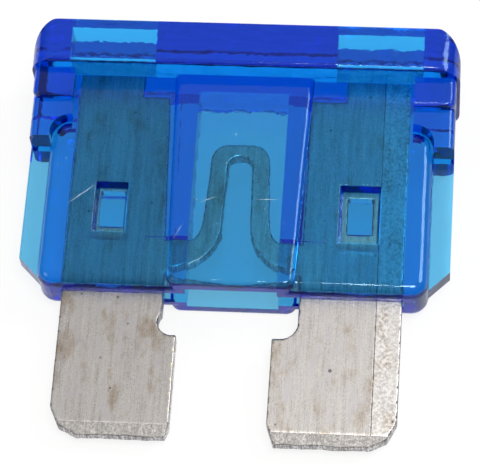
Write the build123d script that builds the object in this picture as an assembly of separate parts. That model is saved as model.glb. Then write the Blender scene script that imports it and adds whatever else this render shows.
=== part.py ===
from build123d import *
import os
from math import asin, atan2, degrees, hypot

os.makedirs("parts", exist_ok=True)

# Blade fuse, all sizes in mm.
# It is drawn facing up: X is the width, Y runs from the blade tips to the cap, Z is the depth.
# Y = 0 is the bottom of the plastic body. At the end it is laid on its back, as it comes to rest.

# Overall sizes
overall_width = 19.1
housing_height = 12.45
cap_depth = 5.1
cap_height = 2.2
left_reach = 6.67
right_reach = 6.78
metal_thickness = 0.65

# Cap
cap_plan_round = 1.1
cap_top_round = 1.45
edge_round = 0.2
test_slot_length = 3.85
test_slot_width = 1.25
test_slot_offset = 0.35

# Body under the cap
fin_inset = 0.15
fin_thickness = 0.8
fin_corner_cut = 1.48
side_wall = 1.1
blade_wall = 0.875
plate_corner_round = 0.9
plate_foot_round = 0.75
plate_edge_round = 0.55
shoulder_edge_round = 0.35
plate_top_drop = 2.15
ledge_flat = 0.05
shoulder_drop = 3.25
shoulder_step_drop = 1.4
shoulder_upper_depth = 3.8
shoulder_lower_depth = 3.0
window_half_width = 3.1
window_taper = 0.35
window_wall = 0.63
window_edge_round = 0.3
window_foot_round = 0.45
cavity_half_width = 2.0
cavity_depth = 1.8
cavity_roof = 0.63

# Stamped metal element
blade_outer = 7.4
blade_inner = 2.95
blade_top_rise = 0.45
top_notch_width = 1.6
top_notch_height = 1.15
left_top_inner = 3.35
right_top_inner = 2.98
left_tip_inner = 2.26
right_tip_inner = 1.87
tip_ledge = -1.9
left_relief_round = 0.62
left_relief_bite = 0.15
right_relief_round = 0.75
right_relief_bite = 0.0
tip_bevel_height = 0.6
tip_bevel_depth = 0.12
side_bevel_width = 0.38
side_bevel_depth = 0.15
tip_corner_width = 1.15
tip_corner_height = 0.4
tip_taper_width = 0.4
tip_taper_height = 1.25
left_inner_cut_width = 0.15
left_inner_cut_height = 0.5
right_inner_cut_width = 0.32
right_inner_cut_height = 0.95
arm_top = 2.45
arm_bottom = 0.95
arm_run = 0.75
link_headroom = 2.32
link_crown = 0.6
link_half_outer = 1.3
link_half_inner = 0.52
link_outer_round = 0.8
link_inner_round = 0.45
leg_outer_foot = 4.05
leg_inner_foot = 3.3
leg_outer_spread = 0.12
leg_inner_spread = 0.1

# Stakes: plastic pressed through a hole in each blade, with a punch recess over it
left_stake_x = 5.5
right_stake_x = 5.4
stake_y = 3.95
stake_width = 1.08
stake_height = 1.75
recess_y = 3.74
left_recess_width = 1.45
left_recess_height = 2.45
right_recess_width = 1.8
right_recess_height = 2.8
recess_depth = 0.45
recess_taper = 16
recess_rim_round = 0.1

# Clearances
pocket_clearance = 0.04
arm_slot_clearance = 0.12
through = 1.0

# Derived levels
cap_bottom = housing_height - cap_height
left_tip = -left_reach
right_tip = -right_reach
half_width = overall_width / 2
half_metal = metal_thickness / 2
fin_half_width = half_width - fin_inset
plate_half_width = blade_outer + side_wall
plate_depth = metal_thickness + 2 * blade_wall
plate_top = cap_bottom - plate_top_drop
shoulder_inner = plate_half_width - plate_corner_round - ledge_flat
shoulder_bottom = cap_bottom - shoulder_drop
shoulder_step = cap_bottom - shoulder_step_drop
window_depth = cavity_depth + 2 * window_wall
cavity_top = cap_bottom - cavity_roof
blade_top = cap_bottom + blade_top_rise
link_top = cavity_top - link_headroom


def block(x0, x1, y0, y1, depth):
    """A box between two X and two Y limits, centred in depth."""
    return Pos((x0 + x1) / 2, (y0 + y1) / 2, 0) * Box(x1 - x0, y1 - y0, depth)


def plate(face, depth):
    """A flat outline in XY given a depth, centred on Z = 0."""
    return extrude(face, amount=depth / 2, both=True)


def both(shape):
    """The shape and its mirror image in the YZ plane."""
    return shape + mirror(shape, about=Plane.YZ)


def upright_edge(shape, x, y):
    """The edge along Z nearest to a corner at x, y."""
    return shape.edges().filter_by(Axis.Z).sort_by_distance((x, y, 0))[0]


def outline(points):
    """A face from a closed list of corner points in XY."""
    return make_face(Polyline(*points, close=True))


# ---- Housing: cap ----
cap_centre = Pos(0, cap_bottom + cap_height / 2, 0)
cap_front = block(-half_width, half_width, cap_bottom, housing_height, cap_depth)
cap_front = fillet(cap_front.edges().filter_by(Axis.Z).group_by(Axis.Y)[-1], cap_top_round)
plan_face = Plane.XZ * RectangleRounded(overall_width, cap_depth, cap_plan_round)
cap_plan = cap_centre * extrude(plan_face, amount=cap_height, both=True)
side_face = Plane.YZ * RectangleRounded(cap_height, cap_depth, edge_round)
cap_side = cap_centre * extrude(side_face, amount=overall_width, both=True)
cap = cap_front & cap_plan & cap_side

# ---- Housing: body ----
join = cap_bottom + cap_height / 2
side_line = [
    (0, 0),
    (plate_half_width, 0),
    (plate_half_width, plate_top),
    (shoulder_inner, plate_top),
    (shoulder_inner, join),
    (0, join),
]
body_plate = plate(outline(side_line), plate_depth)
body_plate = fillet(upright_edge(body_plate, plate_half_width, plate_top), plate_corner_round)
body_plate = fillet(upright_edge(body_plate, plate_half_width, 0), plate_foot_round)
# The corners run smoothly into the side and the foot, so one round goes all the way along.
plate_edges = body_plate.edges().filter_by(Axis.Y).group_by(Axis.X)[-1]
body_plate = fillet(plate_edges, plate_edge_round)
body_plate = both(body_plate)

shoulder_line = [
    (shoulder_inner, join),
    (shoulder_inner, plate_top),
    (plate_half_width, plate_top),
    (plate_half_width, shoulder_bottom),
    (fin_half_width, shoulder_bottom),
    (fin_half_width, join),
]
shoulder_low = plate(outline(shoulder_line), shoulder_lower_depth)
shoulder_low = fillet(upright_edge(shoulder_low, plate_half_width, plate_top), plate_corner_round)
shoulder_high = block(shoulder_inner, fin_half_width, shoulder_step, join, shoulder_upper_depth)
shoulder_high = fillet(shoulder_high.edges().filter_by(Axis.X).group_by(Axis.Y)[0], edge_round)
shoulder_high = fillet(shoulder_high.edges().filter_by(Axis.Y).group_by(Axis.X)[-1], shoulder_edge_round)
shoulder_low = fillet(shoulder_low.edges().filter_by(Axis.Y).group_by(Axis.X)[-1], shoulder_edge_round)
shoulders = both(shoulder_low + shoulder_high)

fin_face = outline([
    (0, 0),
    (fin_half_width - fin_corner_cut, 0),
    (fin_half_width, fin_corner_cut),
    (fin_half_width, shoulder_step),
    (0, shoulder_step),
])
fins = both(plate(fin_face, fin_thickness))

window_foot = window_half_width - window_taper
window_line = [
    (0, 0),
    (window_foot, 0),
    (window_half_width, cap_bottom),
    (window_half_width, join),
    (0, join),
]
window_box = plate(outline(window_line), window_depth)
window_box = fillet(upright_edge(window_box, window_foot, 0), window_foot_round)
foot_edges = window_box.edges().filter_by(Axis.X).group_by(Axis.Y)[0]
window_box = both(fillet(foot_edges, window_edge_round))

housing = cap + body_plate + shoulders + fins + window_box


# ---- Fuse element: one stamping ----
def blade_solid(grow, top_inner):
    """The part of a blade above the ledge, on the +X side, every face moved out by grow."""
    notch_x = blade_inner + top_notch_width
    notch_y = blade_top - top_notch_height
    upper = outline([
        (blade_inner - grow, tip_ledge),
        (blade_outer + grow, tip_ledge),
        (blade_outer + grow, blade_top + grow),
        (notch_x - grow, blade_top + grow),
        (notch_x - grow, notch_y + grow),
        (top_inner - grow, notch_y + grow),
        (blade_inner - grow, 0),
    ])
    return plate(upper, metal_thickness + 2 * grow)


def tip_solid(tip_y, tip_inner, cut_width, cut_height, relief_round, relief_bite):
    """The wide bare end of a blade, with the round relief where it steps in to the housing."""
    end = outline([
        (tip_inner, tip_ledge),
        (tip_inner, tip_y + cut_height),
        (tip_inner + cut_width, tip_y),
        (blade_outer - tip_corner_width, tip_y),
        (blade_outer - tip_taper_width, tip_y + tip_corner_height),
        (blade_outer, tip_y + tip_taper_height),
        (blade_outer, tip_ledge),
    ])
    relief_x = blade_inner - relief_round + relief_bite
    relief_y = tip_ledge + relief_round
    corner = block(relief_x, blade_inner + relief_round, tip_ledge, relief_y, metal_thickness)
    relief = Pos(relief_x, relief_y, 0) * Cylinder(relief_round, cap_depth)
    return plate(end, metal_thickness) + corner, relief


def bevel_cuts(tip_y, tip_inner):
    """Coined bevels on the tip and the inner edge of one blade, front and back."""
    end = make_face(Plane.YZ * Polyline(
        (tip_y, half_metal - tip_bevel_depth),
        (tip_y, half_metal + through),
        (tip_y + tip_bevel_height + through * tip_bevel_height / tip_bevel_depth, half_metal + through),
        close=True,
    ))
    end_cut = extrude(end, amount=overall_width, both=True)
    side = make_face(Plane.XZ * Polyline(
        (tip_inner, half_metal - side_bevel_depth),
        (tip_inner, half_metal + through),
        (tip_inner + side_bevel_width * (1 + through / side_bevel_depth), half_metal + through),
        close=True,
    ))
    side_cut = Pos(0, tip_ledge, 0) * extrude(side, amount=housing_height)
    cuts = end_cut + side_cut
    return cuts + mirror(cuts, about=Plane.XY)


def stake_hole(stake_x):
    """The hole through a blade, which the pressed plastic fills."""
    return block(
        stake_x - stake_width / 2,
        stake_x + stake_width / 2,
        stake_y - stake_height / 2,
        stake_y + stake_height / 2,
        cap_depth,
    )


foot_outer = link_half_outer + leg_outer_spread
foot_inner = link_half_inner + leg_inner_spread
leg_head = link_top - link_outer_round
arch_head = link_top - link_crown - link_inner_round
outer_lines = [
    Line((blade_inner + through, arm_top), (blade_inner - arm_run, arm_top)),
    Spline(
        (blade_inner - arm_run, arm_top),
        (foot_outer, leg_outer_foot),
        tangents=[(-1, 0.15), (-leg_outer_spread, leg_head - leg_outer_foot)],
    ),
    Line((foot_outer, leg_outer_foot), (link_half_outer, leg_head)),
    RadiusArc((link_half_outer, leg_head), (link_half_outer - link_outer_round, link_top), -link_outer_round),
    Line((link_half_outer - link_outer_round, link_top), (0, link_top)),
]
inner_lines = [
    Line((0, link_top), (0, arch_head + link_inner_round)),
    Line((0, arch_head + link_inner_round), (link_half_inner - link_inner_round, arch_head + link_inner_round)),
    RadiusArc(
        (link_half_inner - link_inner_round, arch_head + link_inner_round),
        (link_half_inner, arch_head),
        link_inner_round,
    ),
    Line((link_half_inner, arch_head), (foot_inner, leg_inner_foot)),
    Spline(
        (foot_inner, leg_inner_foot),
        (blade_inner, arm_bottom),
        tangents=[(leg_inner_spread, leg_inner_foot - arch_head), (1, -0.35)],
    ),
    Line((blade_inner, arm_bottom), (blade_inner + through, arm_bottom)),
    Line((blade_inner + through, arm_bottom), (blade_inner + through, arm_top)),
]
half_link = make_face(outer_lines + inner_lines)
link = both(plate(half_link, metal_thickness))

right_end, right_relief = tip_solid(
    right_tip,
    right_tip_inner,
    right_inner_cut_width,
    right_inner_cut_height,
    right_relief_round,
    right_relief_bite,
)
left_end, left_relief = tip_solid(
    left_tip,
    left_tip_inner,
    left_inner_cut_width,
    left_inner_cut_height,
    left_relief_round,
    left_relief_bite,
)
right_blade = blade_solid(0, right_top_inner) + right_end - right_relief
right_blade = right_blade - bevel_cuts(right_tip, right_tip_inner) - stake_hole(right_stake_x)
left_blade = blade_solid(0, left_top_inner) + left_end - left_relief
left_blade = left_blade - bevel_cuts(left_tip, left_tip_inner) - stake_hole(left_stake_x)
fuse_element = right_blade + mirror(left_blade, about=Plane.YZ) + link


# ---- Housing: hollows ----
def side_hollows(top_inner, stake_x, recess_width, recess_height):
    """Everything cut out of the housing on the +X side for one blade."""
    pocket = blade_solid(pocket_clearance, top_inner) - stake_hole(stake_x)
    arm_slot = block(
        cavity_half_width - through,
        blade_inner + through,
        -through,
        arm_top + arm_slot_clearance,
        metal_thickness + 2 * arm_slot_clearance,
    )
    test_slot_x = (blade_inner + top_notch_width + blade_outer) / 2
    test_slot = Pos(0, 0, test_slot_offset) * block(
        test_slot_x - test_slot_length / 2,
        test_slot_x + test_slot_length / 2,
        blade_top,
        housing_height + through,
        test_slot_width,
    )
    mouth = Pos(stake_x, recess_y, plate_depth / 2) * Rectangle(recess_width, recess_height)
    recess = extrude(mouth, amount=-recess_depth, taper=recess_taper)
    recesses = recess + mirror(recess, about=Plane.XY)
    return pocket + arm_slot + test_slot + recesses


right_hollows = side_hollows(right_top_inner, right_stake_x, right_recess_width, right_recess_height)
left_hollows = side_hollows(left_top_inner, left_stake_x, left_recess_width, left_recess_height)
cavity = block(-cavity_half_width, cavity_half_width, -through, cavity_top, cavity_depth)
housing = housing - cavity - right_hollows - mirror(left_hollows, about=Plane.YZ)


def mouth_edges(shape, x, width, height):
    """The edges round the mouths of the two recesses of one stake."""
    near = 0.01
    return shape.edges().filter_by(
        lambda edge: abs(abs(edge.center().Z) - plate_depth / 2) < near
        and abs(edge.center().X - x) < width / 2 + near
        and abs(edge.center().Y - recess_y) < height / 2 + near
    )


recess_rims = mouth_edges(housing, right_stake_x, right_recess_width, right_recess_height)
recess_rims += mouth_edges(housing, -left_stake_x, left_recess_width, left_recess_height)
housing = fillet(recess_rims, recess_rim_round)

# ---- Laid on its back ----
# The back lower edge of the cap and the back lower edge of the window box touch the ground.
rise = (cap_depth / 2 - edge_round) - (window_depth / 2 - window_edge_round)
run = (cap_bottom + edge_round) - window_edge_round
rest_tilt = degrees(atan2(rise, run) + asin((edge_round - window_edge_round) / hypot(rise, run)))
laid = Rotation(rest_tilt, 0, 0)
housing = laid * housing
fuse_element = laid * fuse_element
whole = housing.bounding_box().add(fuse_element.bounding_box())
ground = Pos(-(whole.min.X + whole.max.X) / 2, -(whole.min.Y + whole.max.Y) / 2, -whole.min.Z)

nodes = {
    "housing": ground * housing,
    "fuse_element": ground * fuse_element,
}
for name, shape in nodes.items():
    export_step(shape, f"parts/{name}.step")
    size = shape.bounding_box().size
    print(name, len(shape.solids()), round(shape.volume, 2), round(size.X, 2), round(size.Y, 2), round(size.Z, 2))
print("rest tilt", round(rest_tilt, 3))
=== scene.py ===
import math
import random
import bmesh
import bpy
from mathutils import Matrix, Quaternion, Vector, noise


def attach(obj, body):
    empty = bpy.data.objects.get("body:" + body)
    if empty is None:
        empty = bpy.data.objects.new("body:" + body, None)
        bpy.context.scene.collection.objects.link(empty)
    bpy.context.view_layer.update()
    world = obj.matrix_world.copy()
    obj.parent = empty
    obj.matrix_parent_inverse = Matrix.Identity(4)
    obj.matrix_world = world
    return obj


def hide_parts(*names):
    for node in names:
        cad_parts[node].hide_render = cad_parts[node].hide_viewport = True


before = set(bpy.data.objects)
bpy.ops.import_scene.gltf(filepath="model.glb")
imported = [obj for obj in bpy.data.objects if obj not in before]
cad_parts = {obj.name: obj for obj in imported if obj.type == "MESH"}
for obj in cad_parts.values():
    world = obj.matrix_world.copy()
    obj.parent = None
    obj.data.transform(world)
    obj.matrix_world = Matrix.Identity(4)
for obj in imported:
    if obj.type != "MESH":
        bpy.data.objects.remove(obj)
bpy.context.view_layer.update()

mm = 0.001
scene = bpy.context.scene
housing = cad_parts["housing"]
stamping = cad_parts["fuse_element"]


# The fuse lies a little tilted, so the marks on it are placed along its own axes:
# across the blades, up towards the cap, and out of the front face. All in mm from
# the bottom of the plastic, half way through the metal.
def findAxes():
    out = Vector((0, 0, 0))
    for face in stamping.data.polygons:
        if face.normal.z > 0.99:      # the flat faces, not the bevels
            out += face.normal * face.area
    out.x = 0.0
    out.normalize()
    across = Vector((1, 0, 0))
    up = out.cross(across)
    outs = [v.co.dot(out) for v in stamping.data.vertices]
    foot = min(v.co.dot(up) for v in housing.data.vertices)
    return across, up, out, foot / mm, (min(outs) + max(outs)) / 2 / mm


across, up, out, foot, middle = findAxes()
tilt = math.atan2(-out.y, out.z)


def ownPoint(p):
    return Vector((p.dot(across) / mm, p.dot(up) / mm - foot, p.dot(out) / mm - middle))


def rowPoint(x, v, w):
    return (across * x + up * (v + foot) + out * (w + middle)) * mm


print("axes found, tilt", round(math.degrees(tilt), 3))


# Node helpers
def put(tree, kind, x, y, **settings):
    node = tree.nodes.new(kind)
    node.location = (x, y)
    for key, value in settings.items():
        setattr(node, key, value)
    return node


def give(tree, value, socket):
    if isinstance(value, bpy.types.NodeSocket):
        tree.links.new(value, socket)
    elif isinstance(value, (tuple, list)) and socket.type == "RGBA":
        socket.default_value = (*value, 1.0)
    elif value is not None:
        socket.default_value = value


def calc(tree, operation, a, b, x, y, clamp=False):
    node = put(tree, "ShaderNodeMath", x, y, operation=operation, use_clamp=clamp)
    give(tree, a, node.inputs[0])
    give(tree, b, node.inputs[1])
    return node.outputs[0]


def vectorCalc(tree, operation, a, b, x, y):
    node = put(tree, "ShaderNodeVectorMath", x, y, operation=operation)
    give(tree, a, node.inputs[0])
    give(tree, b, node.inputs[1])
    return node.outputs["Value"] if operation in ("DOT_PRODUCT", "LENGTH") else node.outputs[0]


def ramp(tree, value, fromLow, fromHigh, toLow, toHigh, x, y):
    node = put(tree, "ShaderNodeMapRange", x, y, interpolation_type="SMOOTHSTEP")
    for name, setting in (
        ("Value", value), ("From Min", fromLow), ("From Max", fromHigh),
        ("To Min", toLow), ("To Max", toHigh),
    ):
        give(tree, setting, node.inputs[name])
    return node.outputs["Result"]


def blendColour(tree, factor, a, b, x, y, way="MIX"):
    node = put(tree, "ShaderNodeMix", x, y, data_type="RGBA", blend_type=way)
    for name, value in (("Factor", factor), ("A", a), ("B", b)):
        give(tree, value, [s for s in node.inputs if s.name == name and s.enabled][0])
    return [s for s in node.outputs if s.enabled][0]


def cloud(tree, vector, scale, detail, x, y, rough=0.5):
    node = put(tree, "ShaderNodeTexNoise", x, y)
    give(tree, vector, node.inputs["Vector"])
    node.inputs["Scale"].default_value = scale
    node.inputs["Detail"].default_value = detail
    node.inputs["Roughness"].default_value = rough
    return node.outputs["Fac"]


def stretched(tree, vector, scale, x, y):
    node = put(tree, "ShaderNodeMapping", x, y)
    give(tree, vector, node.inputs["Vector"])
    node.inputs["Scale"].default_value = scale
    return node.outputs[0]


def newGroup(name, inputs, outputs):
    tree = bpy.data.node_groups.new(name, "ShaderNodeTree")
    for label, kind, value in inputs:
        socket = tree.interface.new_socket(name=label, in_out="INPUT", socket_type=kind)
        if value is not None:
            socket.default_value = value
    for label, kind in outputs:
        tree.interface.new_socket(name=label, in_out="OUTPUT", socket_type=kind)
    return tree, put(tree, "NodeGroupInput", -1200, 0), put(tree, "NodeGroupOutput", 900, 0)


def useGroup(tree, group, x, y, **values):
    node = put(tree, "ShaderNodeGroup", x, y, node_tree=group)
    for name, value in values.items():
        give(tree, value, node.inputs[name])
    return node.outputs


def newMaterial(name):
    material = bpy.data.materials.new(name)
    material.use_nodes = True
    material.node_tree.nodes.clear()
    return material, material.node_tree


def finishSurface(tree, shader, volume=None):
    end = put(tree, "ShaderNodeOutputMaterial", 1300, 0)
    tree.links.new(shader.outputs[0], end.inputs["Surface"])
    if volume:
        tree.links.new(volume.outputs[0], end.inputs["Volume"])


# Effects that several finishes share
def partAxesGroup():
    # object coordinates in metres turned into the fuse's own axes, in mm
    tree, start, end = newGroup("partAxes", [], [("Vector", "NodeSocketVector")])
    coords = put(tree, "ShaderNodeTexCoord", -800, 0)
    turn = put(tree, "ShaderNodeMapping", -500, 0)
    tree.links.new(coords.outputs["Object"], turn.inputs["Vector"])
    turn.inputs["Scale"].default_value = (1 / mm, 1 / mm, 1 / mm)
    turn.inputs["Rotation"].default_value = (-tilt, 0, 0)
    turn.inputs["Location"].default_value = (0, -foot, -middle)
    tree.links.new(turn.outputs[0], end.inputs[0])
    return tree


def rollingGrainGroup():
    # fine lines left by the rolling mill, along the second axis of Vector
    tree, start, end = newGroup(
        "rollingGrain",
        [("Vector", "NodeSocketVector", None), ("Fineness", "NodeSocketFloat", 1.0)],
        [("Tone", "NodeSocketFloat"), ("Height", "NodeSocketFloat")],
    )
    scaled = vectorCalc(tree, "SCALE", start.outputs["Vector"], None, -950, 0)
    tree.links.new(start.outputs["Fineness"], scaled.node.inputs["Scale"])
    fine = cloud(tree, stretched(tree, scaled, (22, 0.9, 6), -700, 300), 1.0, 4, -450, 300, 0.6)
    wide = cloud(tree, stretched(tree, scaled, (5.0, 0.22, 3), -700, 0), 1.0, 3, -450, 0)
    dust = cloud(tree, stretched(tree, scaled, (16, 10, 10), -700, -300), 1.0, 3, -450, -300, 0.7)
    fineHalf = calc(tree, "MULTIPLY", fine, 0.5, -200, 300)
    wideHalf = calc(tree, "MULTIPLY", wide, 0.5, -200, 0)
    streaks = calc(tree, "ADD", fineHalf, wideHalf, 0, 200)
    streakShare = calc(tree, "MULTIPLY", streaks, 0.6, 150, 200)
    dustShare = calc(tree, "MULTIPLY", dust, 0.4, 150, -200)
    tone = calc(tree, "ADD", streakShare, dustShare, 350, 0)
    tree.links.new(ramp(tree, tone, 0.36, 0.64, 0.0, 1.0, 550, 100), end.inputs["Tone"])
    dustHeight = calc(tree, "MULTIPLY", dust, 0.35, 350, -300)
    tree.links.new(calc(tree, "ADD", streaks, dustHeight, 550, -200), end.inputs["Height"])
    return tree


def specksGroup():
    # scattered small round marks: pits in metal, bubbles and dirt in plastic
    tree, start, end = newGroup(
        "specks",
        [
            ("Vector", "NodeSocketVector", None), ("Spacing", "NodeSocketFloat", 1.0),
            ("Size", "NodeSocketFloat", 0.1), ("Share", "NodeSocketFloat", 0.3),
        ],
        [("Mask", "NodeSocketFloat")],
    )
    density = calc(tree, "DIVIDE", 1.0, start.outputs["Spacing"], -900, -200)
    cells = put(tree, "ShaderNodeTexVoronoi", -600, 0)
    tree.links.new(start.outputs["Vector"], cells.inputs["Vector"])
    tree.links.new(density, cells.inputs["Scale"])
    split = put(tree, "ShaderNodeSeparateXYZ", -300, -200)
    tree.links.new(cells.outputs["Color"], split.inputs[0])
    radius = calc(tree, "MULTIPLY", start.outputs["Size"], density, -300, -400)
    variety = calc(tree, "ADD", split.outputs["Y"], 0.4, -150, -300)
    radius = calc(tree, "MULTIPLY", radius, variety, 0, -400)
    near = calc(tree, "LESS_THAN", cells.outputs["Distance"], radius, 200, 0)
    kept = calc(tree, "LESS_THAN", split.outputs["X"], start.outputs["Share"], 200, -200)
    tree.links.new(calc(tree, "MULTIPLY", near, kept, 450, 0), end.inputs["Mask"])
    return tree


def scratchGroup():
    # a thin straight mark between two points of the front view
    tree, start, end = newGroup(
        "scratchLine",
        [
            ("Vector", "NodeSocketVector", None), ("Start", "NodeSocketVector", (0, 0, 0)),
            ("End", "NodeSocketVector", (0, 1, 0)), ("Width", "NodeSocketFloat", 0.03),
        ],
        [("Mask", "NodeSocketFloat")],
    )
    flat = vectorCalc(tree, "MULTIPLY", start.outputs["Vector"], (1, 1, 0), -900, 200)
    run = vectorCalc(tree, "SUBTRACT", start.outputs["End"], start.outputs["Start"], -900, -200)
    reach = vectorCalc(tree, "SUBTRACT", flat, start.outputs["Start"], -700, 200)
    share = calc(tree, "DIVIDE", vectorCalc(tree, "DOT_PRODUCT", reach, run, -500, 200),
                 vectorCalc(tree, "DOT_PRODUCT", run, run, -500, 0), -300, 100, clamp=True)
    along = vectorCalc(tree, "SCALE", run, None, -100, 0)
    tree.links.new(share, along.node.inputs["Scale"])
    away = vectorCalc(tree, "SUBTRACT", reach, along, 100, 100)
    gap = vectorCalc(tree, "LENGTH", away, None, 300, 100)
    wander = cloud(tree, start.outputs["Vector"], 3.0, 3, -100, -300)
    wobble = calc(tree, "MULTIPLY", wander, 0.06, 300, -300)
    gap = calc(tree, "ADD", gap, calc(tree, "SUBTRACT", wobble, 0.03, 450, -300), 500, 0)
    gap = calc(tree, "ABSOLUTE", gap, None, 550, 0)
    close = calc(tree, "DIVIDE", gap, start.outputs["Width"], 620, 0)
    tree.links.new(ramp(tree, close, 0.4, 1.0, 1.0, 0.0, 760, 0), end.inputs["Mask"])
    return tree


partAxes = partAxesGroup()
rollingGrain = rollingGrainGroup()
specks = specksGroup()
scratchLine = scratchGroup()

# Zinc: dull grey rolled strip, with brighter sheared sides and coined bevels; part of their brightness
# is painted glint and highlight
zincLook = {
    "dark": (0.40, 0.375, 0.355),
    "light": (0.80, 0.765, 0.73),
    "stain": (0.62, 0.50, 0.36),
    "violet": (0.60, 0.575, 0.60),
    "pit": (0.10, 0.085, 0.08),
    "roughness": (0.36, 0.52),
    "grainDepth": 0.012 * mm,
    "seam": ((6.25, 11.0, 0.0), (6.31, -6.7, 0.0)),      # scribed line down the right blade
    "seamWidth": 0.035,
    "strip": (6.22, 6.30),                                # brighter strip from the seam outwards, mm
    "stripShine": (0.95, 0.92, 0.88),
    "leftPaintedShade": 0.80,                                    # painted shade: the left blade is drawn duller and darker, the lamps being to the right
}


def zincColour(tree, axes, tone):
    split = put(tree, "ShaderNodeSeparateXYZ", -900, 500)
    tree.links.new(axes, split.inputs[0])
    x = split.outputs["X"]
    colour = blendColour(tree, tone, zincLook["dark"], zincLook["light"], -500, 500)
    patches = cloud(tree, stretched(tree, axes, (1.3, 0.55, 1), -1100, 900), 1.0, 4, -900, 900, 0.62)
    stained = ramp(tree, patches, 0.5, 0.72, 0.0, 0.75, -600, 900)
    colour = blendColour(tree, stained, colour, zincLook["stain"], -300, 600, "MULTIPLY")
    cool = cloud(tree, stretched(tree, axes, (2.1, 0.9, 1), -1100, 1200), 1.0, 3, -900, 1200, 0.6)
    cooled = ramp(tree, cool, 0.48, 0.7, 0.0, 0.6, -600, 1200)
    colour = blendColour(tree, cooled, colour, zincLook["violet"], -100, 600)
    # painted shade: the zinc colour is darkened towards the left blade
    side = ramp(tree, x, -1.5, 1.5, zincLook["leftPaintedShade"], 1.0, -500, 200)
    colour = blendColour(tree, 1.0, colour, side, 100, 600, "MULTIPLY")
    strip = ramp(tree, x, zincLook["strip"][0], zincLook["strip"][1], 0.0, 1.0, -500, 0)
    mottle = cloud(tree, axes, 7.0, 4, -500, -200, 0.7)
    lift = calc(tree, "MULTIPLY", strip, ramp(tree, mottle, 0.4, 0.6, 0.0, 0.7, -300, -200), -100, -100)
    colour = blendColour(tree, lift, colour, zincLook["stripShine"], 300, 600)
    pits = useGroup(tree, specks, -500, -500, Vector=axes, Spacing=0.55, Size=0.06, Share=0.22)["Mask"]
    seam = useGroup(
        tree, scratchLine, -500, -800,
        Vector=axes, Start=zincLook["seam"][0], End=zincLook["seam"][1], Width=zincLook["seamWidth"],
    )["Mask"]
    pits = calc(tree, "MULTIPLY", pits, 0.75, -200, -500)
    seam = calc(tree, "MULTIPLY", seam, 0.8, -200, -800)
    marks = calc(tree, "MAXIMUM", pits, seam, 0, -600)
    return blendColour(tree, marks, colour, zincLook["pit"], 500, 500), marks


def rolledZinc():
    material, tree = newMaterial("rolledZinc")
    axes = useGroup(tree, partAxes, -1500, 0)["Vector"]
    grain = useGroup(tree, rollingGrain, -1200, 0, Vector=axes, Fineness=1.0)
    colour, marks = zincColour(tree, axes, grain["Tone"])
    height = calc(tree, "SUBTRACT", grain["Height"], marks, 500, -300)
    bump = put(tree, "ShaderNodeBump", 700, -300)
    bump.inputs["Strength"].default_value = 0.55
    bump.inputs["Distance"].default_value = zincLook["grainDepth"]
    tree.links.new(height, bump.inputs["Height"])
    shader = put(tree, "ShaderNodeBsdfPrincipled", 1000, 0)
    shader.inputs["Metallic"].default_value = 1.0
    tree.links.new(colour, shader.inputs["Base Color"])
    smooth, rough = zincLook["roughness"]
    tree.links.new(ramp(tree, grain["Tone"], 0, 1, rough, smooth, 700, 0), shader.inputs["Roughness"])
    tree.links.new(bump.outputs["Normal"], shader.inputs["Normal"])
    finishSurface(tree, shader)
    return material


edgeLook = {
    # sheared: the light tone is partly a painted glint along the torn edges and tips
    "sheared": {
        "dark": (0.16, 0.15, 0.16), "light": (0.86, 0.84, 0.84),
        "roughness": 0.3, "depth": 0.03 * mm,
    },
    "tipBevel": {
        "dark": (0.24, 0.23, 0.22), "light": (0.42, 0.40, 0.385),
        "roughness": 0.5, "depth": 0.01 * mm,
    },
    # sideBevel: the yellow tint is the metal's own, the near-white light tone a painted highlight on
    # the inner bevels, which face the bright side
    "sideBevel": {
        "dark": (0.42, 0.37, 0.26), "light": (0.97, 0.93, 0.76),
        "roughness": 0.27, "depth": 0.012 * mm,
    },
}


def workedZinc(name, look, stretch):
    material, tree = newMaterial(name)
    axes = useGroup(tree, partAxes, -1500, 0)["Vector"]
    drawn = stretched(tree, axes, stretch, -1350, 0)
    grain = useGroup(tree, rollingGrain, -1200, 0, Vector=drawn, Fineness=1.0)
    rough = cloud(tree, axes, 9.0, 4, -900, -300, 0.65)
    shade = ramp(tree, rough, 0.38, 0.6, 0.25, 1.0, -600, -300)
    tone = calc(tree, "MULTIPLY", grain["Tone"], shade, -300, 0, clamp=True)
    colour = blendColour(tree, tone, look["dark"], look["light"], 0, 200)
    bump = put(tree, "ShaderNodeBump", 300, -300)
    bump.inputs["Strength"].default_value = 0.8
    bump.inputs["Distance"].default_value = look["depth"]
    tree.links.new(calc(tree, "ADD", grain["Height"], rough, 0, -300), bump.inputs["Height"])
    shader = put(tree, "ShaderNodeBsdfPrincipled", 1000, 0)
    shader.inputs["Metallic"].default_value = 1.0
    tree.links.new(colour, shader.inputs["Base Color"])
    polish = ramp(tree, rough, 0.3, 0.7, look["roughness"] + 0.12, look["roughness"], 500, 0)
    tree.links.new(polish, shader.inputs["Roughness"])
    tree.links.new(bump.outputs["Normal"], shader.inputs["Normal"])
    finishSurface(tree, shader)
    return material


# The stamping as it really is: an even, dense mesh on the drawn faces, with torn and chipped edges
stripLook = {
    "voxel": 0.068 * mm,
    "ripple": 0.003,       # mm, waviness of the flat faces
    "edgeChip": 0.035,     # mm, how ragged the sheared edges are
    "tipChip": 0.055,      # mm, deepest chip along the tips
    "tipZone": 0.75,       # mm above each tip that is chipped
    "tipBevel": 0.7,       # mm above each tip that the coined bevel reaches
    "flat": 0.992,         # a face this square to the front is rolled metal
    "sloped": 0.86,        # down to this it is a bevel, and past it a sheared side
    "innerTop": -1.5,      # the coined inner edges run down from here
    "innerReach": 3.2,     # and lie this near the middle
}


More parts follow.
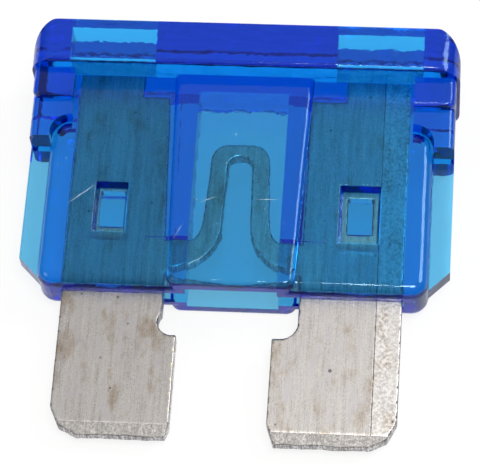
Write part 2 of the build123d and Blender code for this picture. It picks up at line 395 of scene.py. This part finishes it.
def evenMesh(node, name):
    piece = bpy.data.objects.new(name, node.data.copy())
    scene.collection.objects.link(piece)
    even = piece.modifiers.new("even", "REMESH")
    even.mode = "VOXEL"
    even.voxel_size = stripLook["voxel"]
    hug = piece.modifiers.new("hug", "SHRINKWRAP")
    hug.target = node
    hug.wrap_method = "NEAREST_SURFACEPOINT"
    bpy.context.view_layer.update()
    mesh = bpy.data.meshes.new_from_object(piece.evaluated_get(bpy.context.evaluated_depsgraph_get()))
    piece.modifiers.clear()
    old = piece.data
    piece.data = mesh
    bpy.data.meshes.remove(old)
    return piece


def tipOf(x, tips):
    return tips[0] if x < 0 else tips[1]


def makeStrip():
    piece = evenMesh(stamping, "fuseStrip")
    mesh = piece.data
    mesh.materials.clear()
    for material in (
        rolledZinc(),
        workedZinc("shearedZinc", edgeLook["sheared"], (1.0, 0.6, 0.12)),
        workedZinc("tipBevelZinc", edgeLook["tipBevel"], (0.8, 1.6, 1.0)),
        workedZinc("sideBevelZincWithPaintedHighlight", edgeLook["sideBevel"], (1.2, 0.8, 1.0)),
    ):
        mesh.materials.append(material)
    own = [ownPoint(v.co) for v in mesh.vertices]
    tips = (min(p.y for p in own if p.x < 0), min(p.y for p in own if p.x > 0))
    turn = Matrix((across, up, out))
    for face in mesh.polygons:
        n = turn @ face.normal
        centre = ownPoint(face.center)
        face.use_smooth = True
        if abs(n.z) > stripLook["flat"]:
            face.material_index = 0
        elif abs(n.z) < stripLook["sloped"]:
            face.material_index = 1
        elif centre.y < tipOf(centre.x, tips) + stripLook["tipBevel"]:
            face.material_index = 2
        elif centre.y < stripLook["innerTop"] and abs(centre.x) < stripLook["innerReach"]:
            face.material_index = 3
        else:
            face.material_index = 1
    starts = [v.co.copy() for v in mesh.vertices]
    normals = [v.normal.copy() for v in mesh.vertices]
    moved = []
    for place, p, normal in zip(starts, own, normals):
        n = turn @ normal
        rag = noise.fractal(p * 3.1, 1.0, 2.0, 4) * 0.5 + 0.5
        inward = stripLook["ripple"] * max(0.0, rag)
        corner = 1.0 - abs(2.0 * abs(n.z) - 1.0)      # 1 where the face turns the edge
        inward += stripLook["edgeChip"] * max(0.0, corner) * max(0.0, rag - 0.25)
        height = p.y - tipOf(p.x, tips)
        chip = noise.fractal(Vector((p.x * 1.1, p.z * 1.4, 5.0)), 1.0, 2.0, 3)
        if height < stripLook["tipZone"]:
            fall = (1.0 - height / stripLook["tipZone"]) ** 2
            rise = stripLook["tipChip"] * fall * max(0.0, min(1.0, 0.45 + chip))
            place = place + up * (rise * mm)
        moved.extend(place - normal * (inward * mm))
    mesh.vertices.foreach_set("co", moved)
    mesh.update()
    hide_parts("fuse_element")
    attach(piece, "root")
    print("stamping:", len(mesh.polygons), "faces")
    return piece


makeStrip()

# Clear blue polycarbonate, with flow waves, a worn surface and a few bubbles of dirt
plasticLook = {
    "clean": (0.985, 0.99, 1.0),
    "dirty": (0.32, 0.38, 0.45),
    "ior": 1.585,
    "roughness": (0.03, 0.16),
    "shineTint": (0.55, 0.85, 1.0),
    "tint": (0.035, 0.765, 0.974),
    "density": 2250.0,
    "waveDepth": 0.05 * mm,
}


def bluePlastic():
    material, tree = newMaterial("bluePolycarbonate")
    axes = useGroup(tree, partAxes, -1500, 0)["Vector"]
    waves = cloud(tree, stretched(tree, axes, (0.9, 0.55, 0.9), -1100, -300), 1.0, 2, -900, -300, 0.4)
    ripples = cloud(tree, axes, 3.2, 2, -900, -500, 0.5)
    orange = cloud(tree, axes, 14.0, 2, -900, -700, 0.5)
    height = calc(tree, "ADD", waves, calc(tree, "MULTIPLY", ripples, 0.16, -650, -500), -400, -400)
    height = calc(tree, "ADD", height, calc(tree, "MULTIPLY", orange, 0.02, -650, -700), -200, -450)
    smear = cloud(tree, stretched(tree, axes, (1.4, 0.7, 1.4), -1100, 500), 1.0, 5, -900, 500, 0.65)
    glossy, dull = plasticLook["roughness"]
    worn = ramp(tree, smear, 0.45, 0.75, glossy, dull, -300, 300)
    dirt = useGroup(tree, specks, -900, 200, Vector=axes, Spacing=0.8, Size=0.035, Share=0.16)["Mask"]
    bump = put(tree, "ShaderNodeBump", 300, -400)
    bump.inputs["Strength"].default_value = 1.0
    bump.inputs["Distance"].default_value = plasticLook["waveDepth"]
    tree.links.new(height, bump.inputs["Height"])
    shader = put(tree, "ShaderNodeBsdfPrincipled", 1000, 0)
    shader.inputs["IOR"].default_value = plasticLook["ior"]
    shader.inputs["Transmission Weight"].default_value = 1.0
    shader.inputs["Specular Tint"].default_value = (*plasticLook["shineTint"], 1.0)
    colour = blendColour(tree, dirt, plasticLook["clean"], plasticLook["dirty"], 300, 200)
    tree.links.new(colour, shader.inputs["Base Color"])
    tree.links.new(worn, shader.inputs["Roughness"])
    tree.links.new(bump.outputs["Normal"], shader.inputs["Normal"])
    depth = put(tree, "ShaderNodeVolumeAbsorption", 1000, -500)
    depth.inputs["Color"].default_value = (*plasticLook["tint"], 1.0)
    depth.inputs["Density"].default_value = plasticLook["density"]
    finishSurface(tree, shader, depth)
    return material


housing.material_slots[0].material = bluePlastic()
print("plastic on")

# Scuffs and dust that sit on the plastic and catch the light
scuffLook = {
    "colour": (0.72, 0.86, 0.95),
    "dusty": (0.45, 0.62, 0.80),
    "lift": 0.002,          # mm above the plastic
    "scuffs": [             # from, to, height of the face, width, all mm
        ((-7.42, 3.80), (-6.14, 4.88), 1.2, 0.030),
        ((0.88, 4.13), (1.97, 4.17), 1.53, 0.022),
        ((-1.55, 3.92), (-0.83, 4.24), 1.53, 0.022),
        ((-1.89, 0.86), (-1.15, 1.37), 1.53, 0.020),
        ((-2.6, 2.1), (-2.2, 2.9), 1.53, 0.018),
    ],
    "dust": 70,
    "dustSize": (0.012, 0.032),
    "spread": ((-8.0, 8.0), (0.6, 7.4)),   # the front that dust may lie on
    "box": 2.8,                            # half width of the window box
    "boxLevel": 1.53,                      # height of the box's face
    "plateLevel": 1.2,                     # height of the plate's face
    "boxEdge": (2.75, 3.3),                # no dust on the box's side walls
    "stake": ((4.3, 6.7), (2.1, 5.4)),     # or in the punch recesses
}


def addRibbon(shape, a, b, level, width):
    start = Vector(a)
    end = Vector(b)
    run = end - start
    side = Vector((-run.y, run.x)).normalized()
    steps = 14
    rows = []
    for i in range(steps + 1):
        t = i / steps
        p = start + run * t
        shift = noise.noise(Vector((p.x * 4, p.y * 4, 3.0))) * 0.02
        taper = math.sin(math.pi * min(1.0, t * 0.9 + 0.08))
        ragged = 0.55 + 0.9 * abs(noise.noise(Vector((p.x * 9, p.y * 9, 7.0))))
        half = width / 2 * taper * ragged
        row = []
        for k, lift in ((-1, 0.0), (0, scuffLook["lift"] * 2), (1, 0.0)):
            q = p + side * (shift + half * k)
            row.append(shape.verts.new(rowPoint(q.x, q.y, level + scuffLook["lift"] + lift)))
        rows.append(row)
    for one, two in zip(rows, rows[1:]):
        for k in range(2):
            shape.faces.new((one[k], one[k + 1], two[k + 1], two[k]))


def addFlake(shape, x, v, level, size, dice):
    count = dice.randint(5, 7)
    rim = []
    for i in range(count):
        angle = 2 * math.pi * i / count + dice.uniform(-0.3, 0.3)
        r = size * dice.uniform(0.6, 1.1)
        place = rowPoint(x + r * math.cos(angle), v + r * math.sin(angle), level + scuffLook["lift"])
        rim.append(shape.verts.new(place))
    top = shape.verts.new(rowPoint(x, v, level + scuffLook["lift"] + size * 0.35))
    for i in range(count):
        shape.faces.new((rim[i], rim[(i + 1) % count], top))


def makeScuffs():
    dice = random.Random(7)
    shape = bmesh.new()
    for a, b, level, width in scuffLook["scuffs"]:
        addRibbon(shape, a, b, level, width)
    placed = 0
    (stakeIn, stakeOut), (stakeLow, stakeHigh) = scuffLook["stake"]
    while placed < scuffLook["dust"]:
        x = dice.uniform(*scuffLook["spread"][0])
        v = dice.uniform(*scuffLook["spread"][1])
        if scuffLook["boxEdge"][0] < abs(x) < scuffLook["boxEdge"][1]:
            continue
        level = scuffLook["boxLevel"] if abs(x) < scuffLook["box"] else scuffLook["plateLevel"]
        if stakeIn < abs(x) < stakeOut and stakeLow < v < stakeHigh:
            continue
        addFlake(shape, x, v, level, dice.uniform(*scuffLook["dustSize"]), dice)
        placed += 1
    mesh = bpy.data.meshes.new("surfaceScuffs")
    shape.to_mesh(mesh)
    shape.free()
    piece = bpy.data.objects.new("surfaceScuffs", mesh)
    scene.collection.objects.link(piece)
    material, tree = newMaterial("scuffedPlastic")
    axes = useGroup(tree, partAxes, -900, 0)["Vector"]
    tone = cloud(tree, axes, 12.0, 3, -600, 0)
    share = ramp(tree, tone, 0.35, 0.65, 0, 1, -300, 0)
    colour = blendColour(tree, share, scuffLook["dusty"], scuffLook["colour"], 0, 0)
    bump = put(tree, "ShaderNodeBump", 500, -300)
    bump.inputs["Distance"].default_value = 0.004 * mm
    tree.links.new(tone, bump.inputs["Height"])
    shader = put(tree, "ShaderNodeBsdfPrincipled", 1000, 0)
    shader.inputs["Roughness"].default_value = 0.45
    tree.links.new(colour, shader.inputs["Base Color"])
    tree.links.new(bump.outputs["Normal"], shader.inputs["Normal"])
    finishSurface(tree, shader)
    mesh.materials.append(material)
    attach(piece, "root")
    print("scuffs and dust on")


makeScuffs()

# Floor, sky and lamps
floorLook = {"size": 1.2, "colour": (0.9, 0.9, 0.9), "white": 0.85, "inMetal": 0.5, "inGlass": 0.08}
skyLook = {"horizon": 0.2, "zenith": 0.72}
lampLook = [
    # name, azimuth, elevation, distance, size, watts, colour
    ("topBox", 30.0, 71.0, 0.25, 0.085, 0.36, (1.0, 0.99, 0.97)),
    ("leftBox", -60.0, 35.0, 0.3, 0.12, 0.12, (1.0, 0.98, 0.95)),
    ("rightBox", 112.0, 44.0, 0.3, 0.12, 0.28, (0.98, 0.98, 1.0)),
]


def makeFloor():
    half = floorLook["size"] / 2
    mesh = bpy.data.meshes.new("floor")
    corners = [(-half, -half, 0), (half, -half, 0), (half, half, 0), (-half, half, 0)]
    mesh.from_pydata(corners, [], [(0, 1, 2, 3)])
    plane = bpy.data.objects.new("floor", mesh)
    scene.collection.objects.link(plane)
    material, tree = newMaterial("paleFloor")
    rays = put(tree, "ShaderNodeLightPath", -900, 200)
    seen = calc(tree, "MULTIPLY", rays.outputs["Is Camera Ray"], floorLook["white"], -600, 300)
    shine = calc(tree, "MULTIPLY", rays.outputs["Is Glossy Ray"], floorLook["inMetal"], -600, 100)
    behind = rays.outputs["Is Transmission Ray"]
    through = calc(tree, "MULTIPLY", behind, floorLook["inGlass"], -600, -100)
    seen = calc(tree, "MAXIMUM", calc(tree, "MAXIMUM", seen, shine, -400, 200), through, -200, 200)
    matte = put(tree, "ShaderNodeBsdfDiffuse", -200, 0)
    matte.inputs["Color"].default_value = (*floorLook["colour"], 1.0)
    glow = put(tree, "ShaderNodeEmission", -200, -200)
    glow.inputs["Color"].default_value = (1.0, 1.0, 1.0, 1.0)
    mix = put(tree, "ShaderNodeMixShader", 100, 0)
    tree.links.new(seen, mix.inputs[0])
    tree.links.new(matte.outputs[0], mix.inputs[1])
    tree.links.new(glow.outputs[0], mix.inputs[2])
    finishSurface(tree, mix)
    mesh.materials.append(material)


def makeSky():
    world = bpy.data.worlds.new("studio")
    scene.world = world
    world.use_nodes = True
    tree = world.node_tree
    tree.nodes.clear()
    coords = put(tree, "ShaderNodeTexCoord", -900, 0)
    split = put(tree, "ShaderNodeSeparateXYZ", -700, 0)
    tree.links.new(coords.outputs["Generated"], split.inputs[0])
    level = ramp(tree, split.outputs["Z"], 0.1, 0.9, skyLook["horizon"], skyLook["zenith"], -500, 0)
    glow = put(tree, "ShaderNodeBackground", -200, 0)
    tree.links.new(level, glow.inputs["Strength"])
    end = put(tree, "ShaderNodeOutputWorld", 0, 0)
    tree.links.new(glow.outputs[0], end.inputs["Surface"])


def aimed(point, location):
    return (Vector(point) - Vector(location)).to_track_quat("-Z", "Y")


def around(target, azimuth, elevation, distance):
    a = math.radians(azimuth)
    e = math.radians(elevation)
    direction = Vector((math.sin(a) * math.cos(e), -math.cos(a) * math.cos(e), math.sin(e)))
    return Vector(target) + direction * distance


def makeLamps():
    for name, azimuth, elevation, distance, size, watts, colour in lampLook:
        data = bpy.data.lights.new(name, "AREA")
        data.shape = "SQUARE"
        data.size = size
        data.energy = watts
        data.color = colour
        lamp = bpy.data.objects.new(name, data)
        scene.collection.objects.link(lamp)
        lamp.location = around((0, 0, 0), azimuth, elevation, distance)
        lamp.rotation_mode = "QUATERNION"
        lamp.rotation_quaternion = aimed((0, 0, 0), lamp.location)


makeFloor()
makeSky()
makeLamps()
print("studio ready")

# Camera
shot = {
    "target": (0.183 * mm, -0.005 * mm, 2.0 * mm),
    "azimuth": 8.749,
    "elevation": 57.871,
    "distance": 122.461 * mm,
    "roll": -5.4915,
    "lens": 210.016,
    "sensor": 36.0,
}


def makeCamera():
    data = bpy.data.cameras.new("camera")
    data.lens = shot["lens"]
    data.sensor_width = shot["sensor"]
    data.clip_start = 0.01
    data.clip_end = 10.0
    camera = bpy.data.objects.new("camera", data)
    scene.collection.objects.link(camera)
    camera.location = around(shot["target"], shot["azimuth"], shot["elevation"], shot["distance"])
    camera.rotation_mode = "QUATERNION"
    roll = Quaternion((0.0, 0.0, 1.0), math.radians(shot["roll"]))
    camera.rotation_quaternion = aimed(shot["target"], camera.location) @ roll
    scene.camera = camera


makeCamera()
scene.view_settings.view_transform = "Standard"
scene.cycles.max_bounces = 24          # light has many walls of plastic to cross
scene.cycles.glossy_bounces = 12
scene.cycles.transmission_bounces = 24
